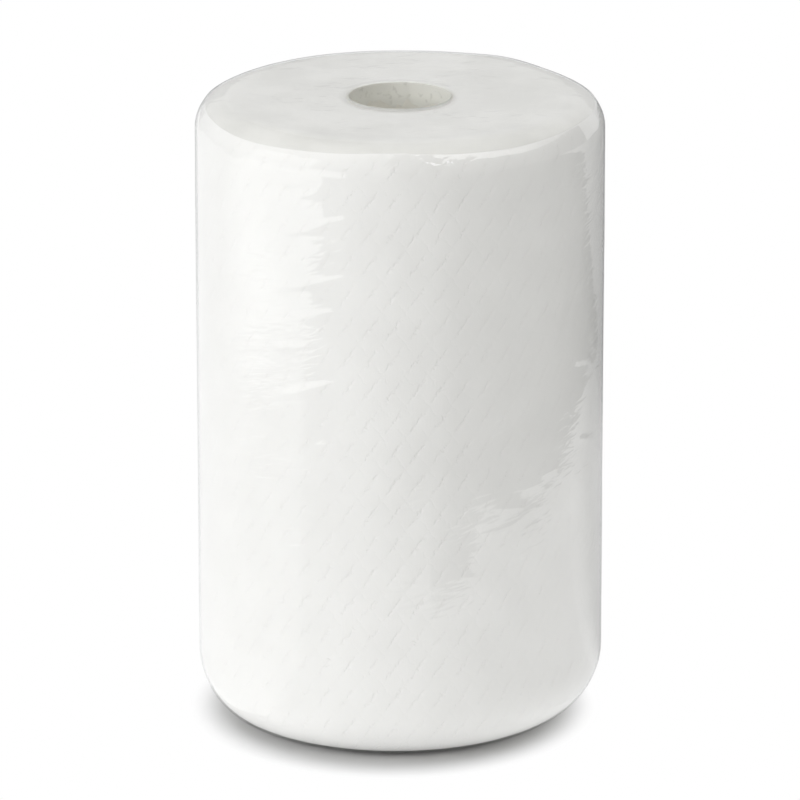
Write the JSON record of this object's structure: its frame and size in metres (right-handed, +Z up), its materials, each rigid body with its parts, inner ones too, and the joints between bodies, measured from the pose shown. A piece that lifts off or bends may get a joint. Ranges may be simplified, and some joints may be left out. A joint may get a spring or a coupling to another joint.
{
  "type": "paper towel roll",
  "caption": "Wound roll of embossed paper towel on a card core, standing on end in clear shrink film that is open round the core.",
  "frame": {"origin": "centre of the footprint that the roll stands on, on the core's axis", "axes": "+Z up along the core's axis; +Y is the back, where the last sheet of paper ends"},
  "size_m": [0.16, 0.16, 0.248],
  "materials": {
    "paper": "matte, diamond embossed",
    "card": "matte",
    "film": "clear gloss"
  },
  "bodies": {
    "root": {"paper_roll": "paper", "core": "card", "film_wrap": "film"}
  },
  "joints": []
}
